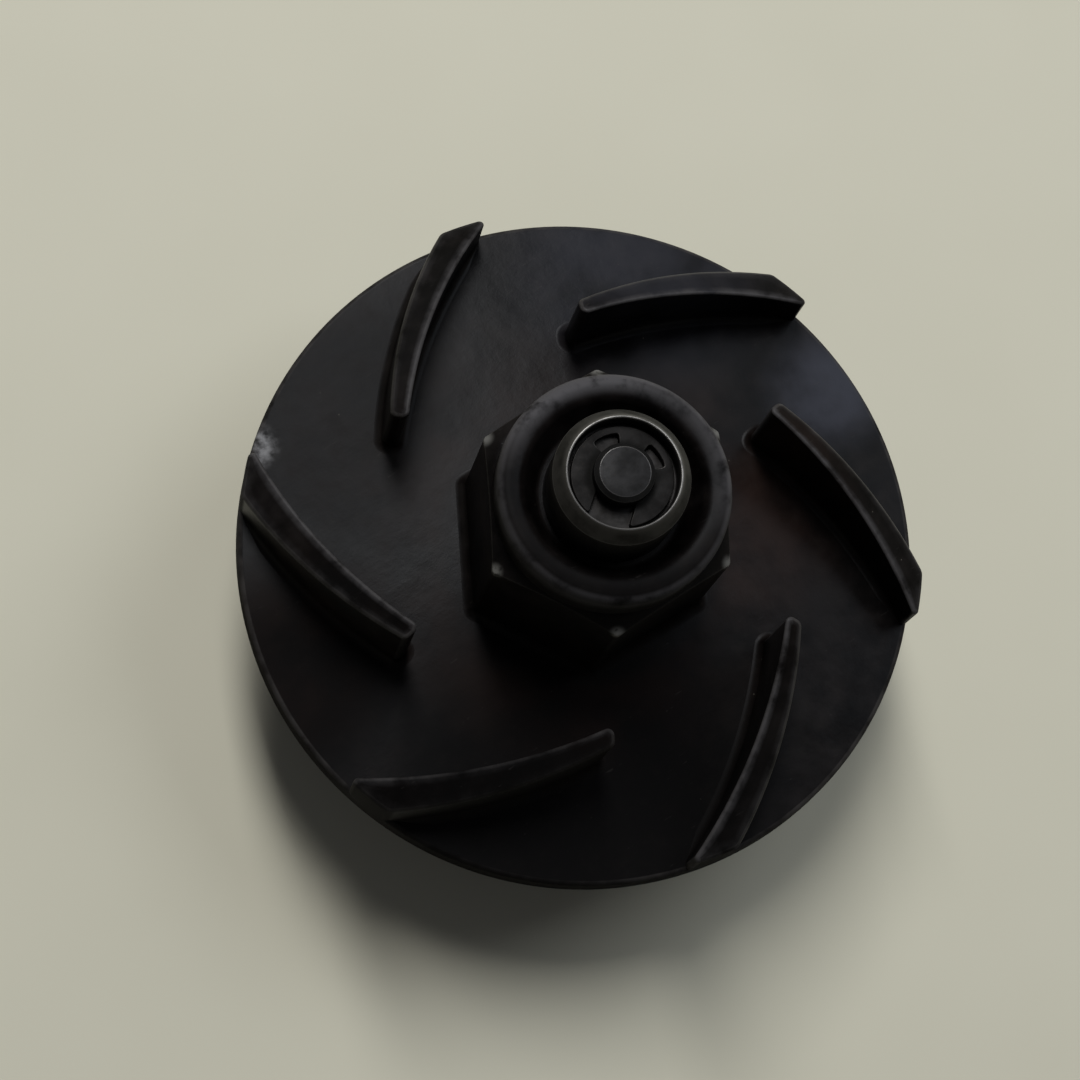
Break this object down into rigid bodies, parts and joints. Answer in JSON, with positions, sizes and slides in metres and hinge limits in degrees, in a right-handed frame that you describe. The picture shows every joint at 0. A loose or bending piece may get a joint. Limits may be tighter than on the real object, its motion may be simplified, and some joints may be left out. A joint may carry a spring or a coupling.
{
  "type": "pump impeller",
  "caption": "Black moulded rubber semi-open pump impeller: swept blades on a round back disc, hexagonal hub with collar, and a metal bush on a short shaft held by a spring clip.",
  "frame": {"origin": "centre of the rear hub's foot, on the shaft axis", "axes": "+Z along the shaft axis, from the foot to the nose; +X through one corner of the hub hexagon"},
  "size_m": [0.06, 0.06, 0.0421],
  "materials": {
    "moulded_rubber": "smooth moulded black rubber with a dull sheen, slightly brown with use, and edges rubbed grey",
    "bush_metal": "dull dark steel with a bright worn nose edge",
    "shaft_metal": "dull dark turned steel with a worn end",
    "clip_steel": "blackened spring steel"
  },
  "bodies": {
    "root": {"impeller_body": "moulded_rubber", "hub_bush": "bush_metal", "shaft": "shaft_metal", "spring_clip": "clip_steel"}
  },
  "joints": []
}
